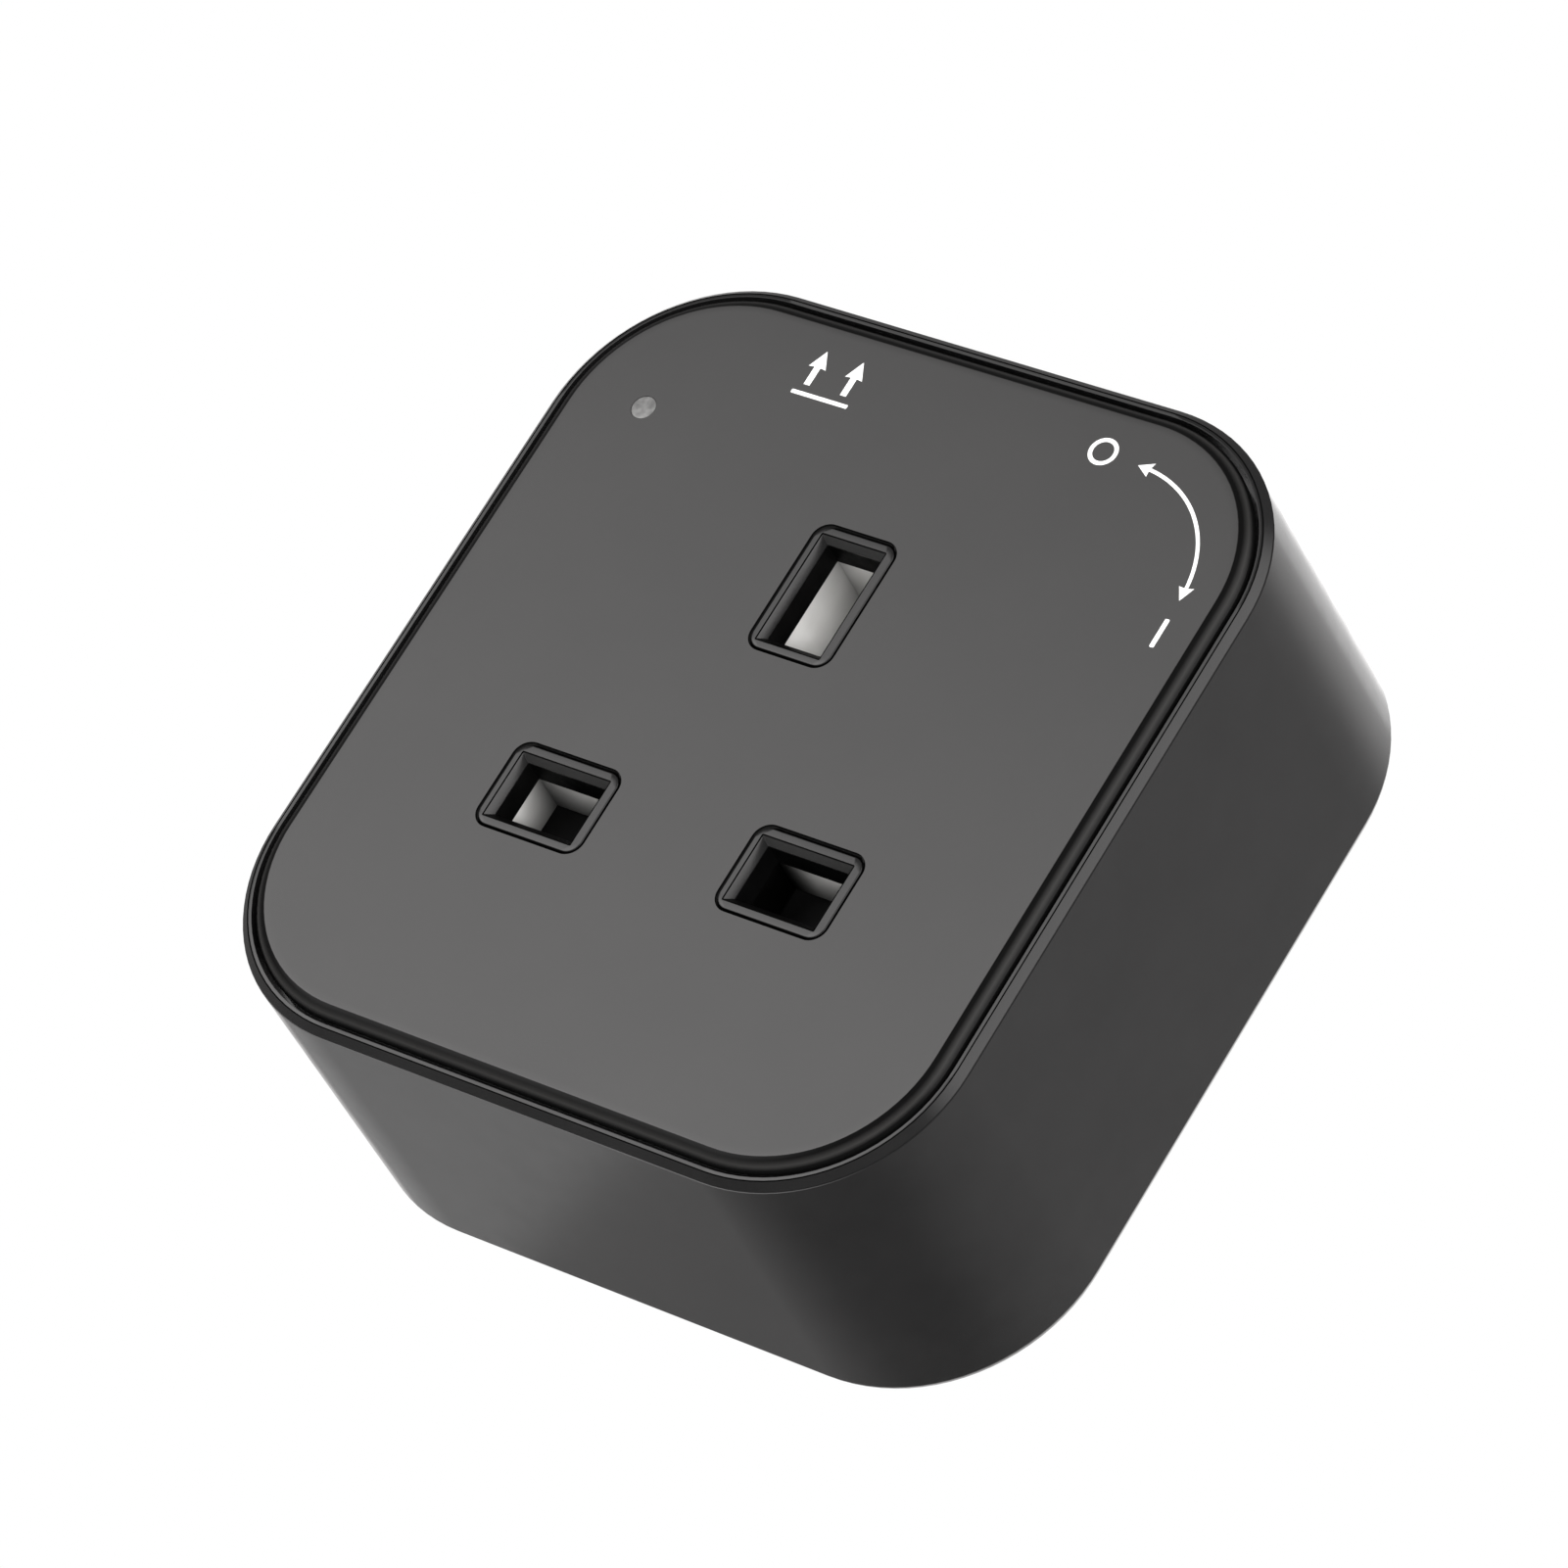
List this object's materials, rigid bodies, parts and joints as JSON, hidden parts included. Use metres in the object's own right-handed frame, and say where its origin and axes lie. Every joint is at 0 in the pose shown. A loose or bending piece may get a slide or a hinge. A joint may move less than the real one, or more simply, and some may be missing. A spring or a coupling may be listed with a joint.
{
  "type": "power track socket module",
  "caption": "Soft square three-pin socket module with an indicator lens, a spring shutter behind the slots and a twist-lock head at the back that turns a quarter turn in a power track.",
  "frame": {"origin": "where the twist axis crosses the plane of the track's front face, against which the track seat rests", "axes": "-Y out of the front face, +Y into the track along the twist axis, +Z the way the printed arrows at the top point, +X to the right of someone who looks at the front"},
  "size_m": [0.0652, 0.0402, 0.0704],
  "materials": {
    "front_plate": "satin gloss, black",
    "case_black": "satin, black",
    "inner_black": "plain, black",
    "pale_plastic": "plain, pale grey",
    "lens": "frosted, grey",
    "brass": "satin",
    "steel": "zinc plated",
    "board": "solder mask, green",
    "relay_case": "satin, blue",
    "film_part": "satin, yellow",
    "disc_part": "satin, blue",
    "sleeve": "shrink sleeve, black",
    "wire_brown": "plain, brown",
    "wire_blue": "plain, blue",
    "wire_green": "plain, green and yellow"
  },
  "bodies": {
    "seat": {"track_seat": "inner_black"},
    "housing": {"carrier_screw_1": "steel", "carrier_screw_2": "steel", "case_screw_1": "steel", "case_screw_2": "steel", "case_screw_3": "steel", "case_screw_4": "steel", "contact_carrier": "inner_black", "control_board": "board", "detent_spring_1": "steel", "detent_spring_2": "steel", "earth_blade": "brass", "earth_contact": "brass", "earth_wire": "wire_green", "front_cover": "case_black", "front_plate": "front_plate", "head_screw_1": "steel", "head_screw_2": "steel", "housing_shell": "case_black", "indicator_led": "lens", "light_guide": "lens", "live_blade": "brass", "live_contact": "brass", "live_wire_in": "wire_brown", "live_wire_out": "wire_brown", "neutral_blade": "brass", "neutral_contact": "brass", "neutral_wire": "wire_blue", "pin_guide": "pale_plastic", "radio_board": "board", "radio_shield": "steel", "rear_cover": "case_black", "relay": "relay_case", "shutter_spring": "steel", "smoothing_capacitor": "sleeve", "supply_transformer": "film_part", "suppression_capacitor": "film_part", "twist_head": "inner_black", "varistor": "disc_part"},
    "shutter": {"shutter": "inner_black"}
  },
  "joints": [
    {"name": "twist", "type": "hinge", "parent": "seat", "child": "housing", "pos_m": [0, 0, 0], "axis": [0, -1, 0], "range_deg": [0, 90]},
    {"name": "shutter_slide", "type": "slide", "parent": "housing", "child": "shutter", "axis": [0, 0, -1], "range_m": [0, 0.0058], "stiffness_N_per_m": 120, "springref_m": -0.004, "deforming": ["shutter_spring"]}
  ]
}
